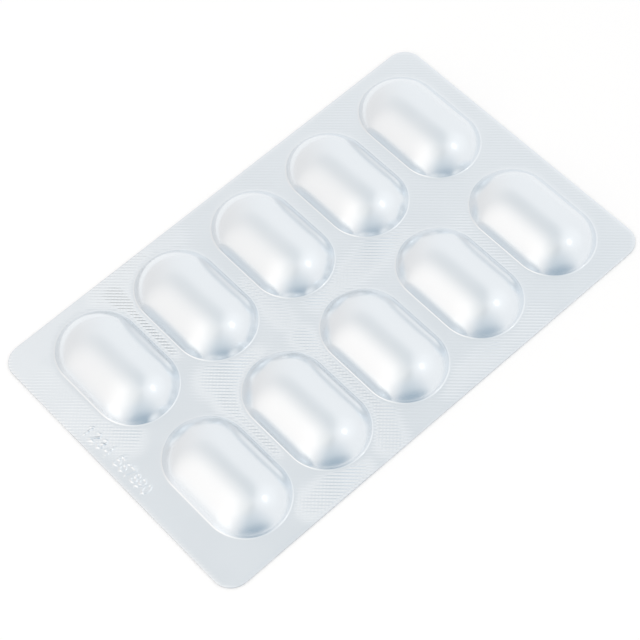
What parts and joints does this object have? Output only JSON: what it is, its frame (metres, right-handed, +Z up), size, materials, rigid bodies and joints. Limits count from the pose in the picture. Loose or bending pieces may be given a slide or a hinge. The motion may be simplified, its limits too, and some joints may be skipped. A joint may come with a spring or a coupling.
{
  "type": "foil blister pack of capsules",
  "caption": "Flat cold-formed foil blister card with oblong domed pockets in two rows, sealed underneath with plain foil, holding capsules.",
  "frame": {"origin": "centre of the card's flat underside", "axes": "+X along the long side, away from the wide code margin; +Y across the card; +Z up, out of the pockets"},
  "size_m": [0.105, 0.066, 0.0052],
  "materials": {
    "foil": "satin"
  },
  "bodies": {
    "root": {"blister_pack": "foil"}
  },
  "joints": []
}
